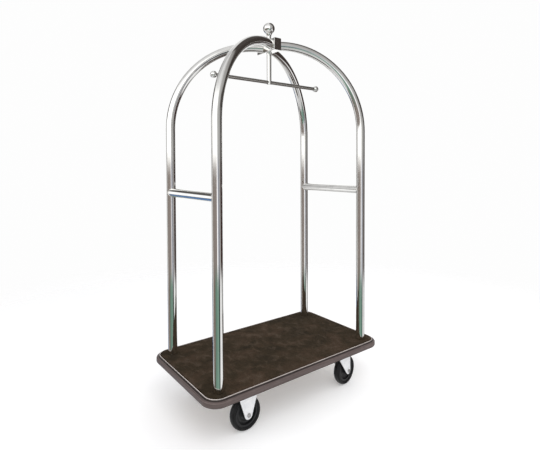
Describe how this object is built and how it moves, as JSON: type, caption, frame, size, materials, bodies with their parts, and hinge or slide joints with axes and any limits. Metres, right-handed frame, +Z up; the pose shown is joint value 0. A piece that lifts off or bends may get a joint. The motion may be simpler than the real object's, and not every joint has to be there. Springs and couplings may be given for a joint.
{
  "type": "hotel luggage cart",
  "caption": "Birdcage luggage cart: carpeted deck on fixed and swivelling casters under tube arches, with push bars, a garment rail and a ball finial.",
  "frame": {"origin": "on the floor, under the middle of the deck", "axes": "+X along the deck towards the swivelling casters, +Y across the deck, +Z up"},
  "size_m": [1.1, 0.63, 2.0023],
  "materials": {
    "tube": "polished stainless tube",
    "fittings": "polished stainless fittings",
    "carpet": "dark brown short pile",
    "board": "plywood, oiled",
    "trim": "satin, faintly rosy",
    "bumper": "grey-brown vinyl, low sheen",
    "rails": "black powder coat",
    "zinc": "bright zinc plate",
    "fastener": "zinc plated",
    "bearing": "ground steel",
    "tyre": "black rubber",
    "core": "black moulded nylon"
  },
  "bodies": {
    "cart": {"arch_tube_back_left": "tube", "arch_tube_back_right": "tube", "arch_tube_front_left": "tube", "arch_tube_front_right": "tube", "bar_ball_left": "fittings", "bar_ball_right": "fittings", "bumper": "bumper", "carpet": "carpet", "caster_bolts": "fastener", "caster_nuts": "fastener", "cross_rail_left": "rails", "cross_rail_middle": "rails", "cross_rail_right": "rails", "crossbar_left": "tube", "crossbar_right": "tube", "deck_board": "board", "edge_trim": "trim", "finial_ball": "fittings", "finial_neck": "fittings", "fixed_axle_nuts": "fastener", "fixed_axle_spacers": "bearing", "fixed_axles": "fastener", "fixed_fork_back": "zinc", "fixed_fork_front": "zinc", "hanger_bar": "fittings", "hanger_stem": "fittings", "hub_bolts": "fastener", "hub_box": "fittings", "hub_end_caps": "fittings", "post_bolts": "fastener", "post_foot_plugs": "fastener", "post_washers": "fastener", "side_rail_back": "rails", "side_rail_front": "rails", "stem_collar": "fittings", "swivel_balls": "bearing", "swivel_kingpins": "fastener", "swivel_plate_back": "zinc", "swivel_plate_front": "zinc"},
    "fork_front": {"swivel_fork_front": "zinc", "swivel_axle_front": "fastener", "swivel_axle_nut_front": "fastener", "swivel_axle_spacer_front": "bearing"},
    "fork_back": {"swivel_fork_back": "zinc", "swivel_axle_back": "fastener", "swivel_axle_nut_back": "fastener", "swivel_axle_spacer_back": "bearing"},
    "wheel_fixed_front": {"tyre_fixed_front": "tyre", "core_fixed_front": "core", "bush_fixed_front": "bearing"},
    "wheel_fixed_back": {"tyre_fixed_back": "tyre", "core_fixed_back": "core", "bush_fixed_back": "bearing"},
    "wheel_swivel_front": {"tyre_swivel_front": "tyre", "core_swivel_front": "core", "bush_swivel_front": "bearing"},
    "wheel_swivel_back": {"tyre_swivel_back": "tyre", "core_swivel_back": "core", "bush_swivel_back": "bearing"}
  },
  "joints": [
    {"name": "fixed_front_roll", "type": "hinge", "parent": "cart", "child": "wheel_fixed_front", "pos_m": [-0.306, -0.208, 0.08], "axis": [0, 1, 0], "continuous": true},
    {"name": "fixed_back_roll", "type": "hinge", "parent": "cart", "child": "wheel_fixed_back", "pos_m": [-0.306, 0.208, 0.08], "axis": [0, 1, 0], "continuous": true},
    {"name": "swivel_front", "type": "hinge", "parent": "cart", "child": "fork_front", "pos_m": [0.333, -0.208, 0.17], "axis": [0, 0, 1], "continuous": true},
    {"name": "swivel_front_roll", "type": "hinge", "parent": "fork_front", "child": "wheel_swivel_front", "pos_m": [0.37053, -0.20206, 0.08], "axis": [-0.1564, 0.9877, 0], "continuous": true},
    {"name": "swivel_back", "type": "hinge", "parent": "cart", "child": "fork_back", "pos_m": [0.333, 0.208, 0.17], "axis": [0, 0, 1], "continuous": true},
    {"name": "swivel_back_roll", "type": "hinge", "parent": "fork_back", "child": "wheel_swivel_back", "pos_m": [0.36715, 0.22466, 0.08], "axis": [-0.4384, 0.8988, 0], "continuous": true}
  ]
}
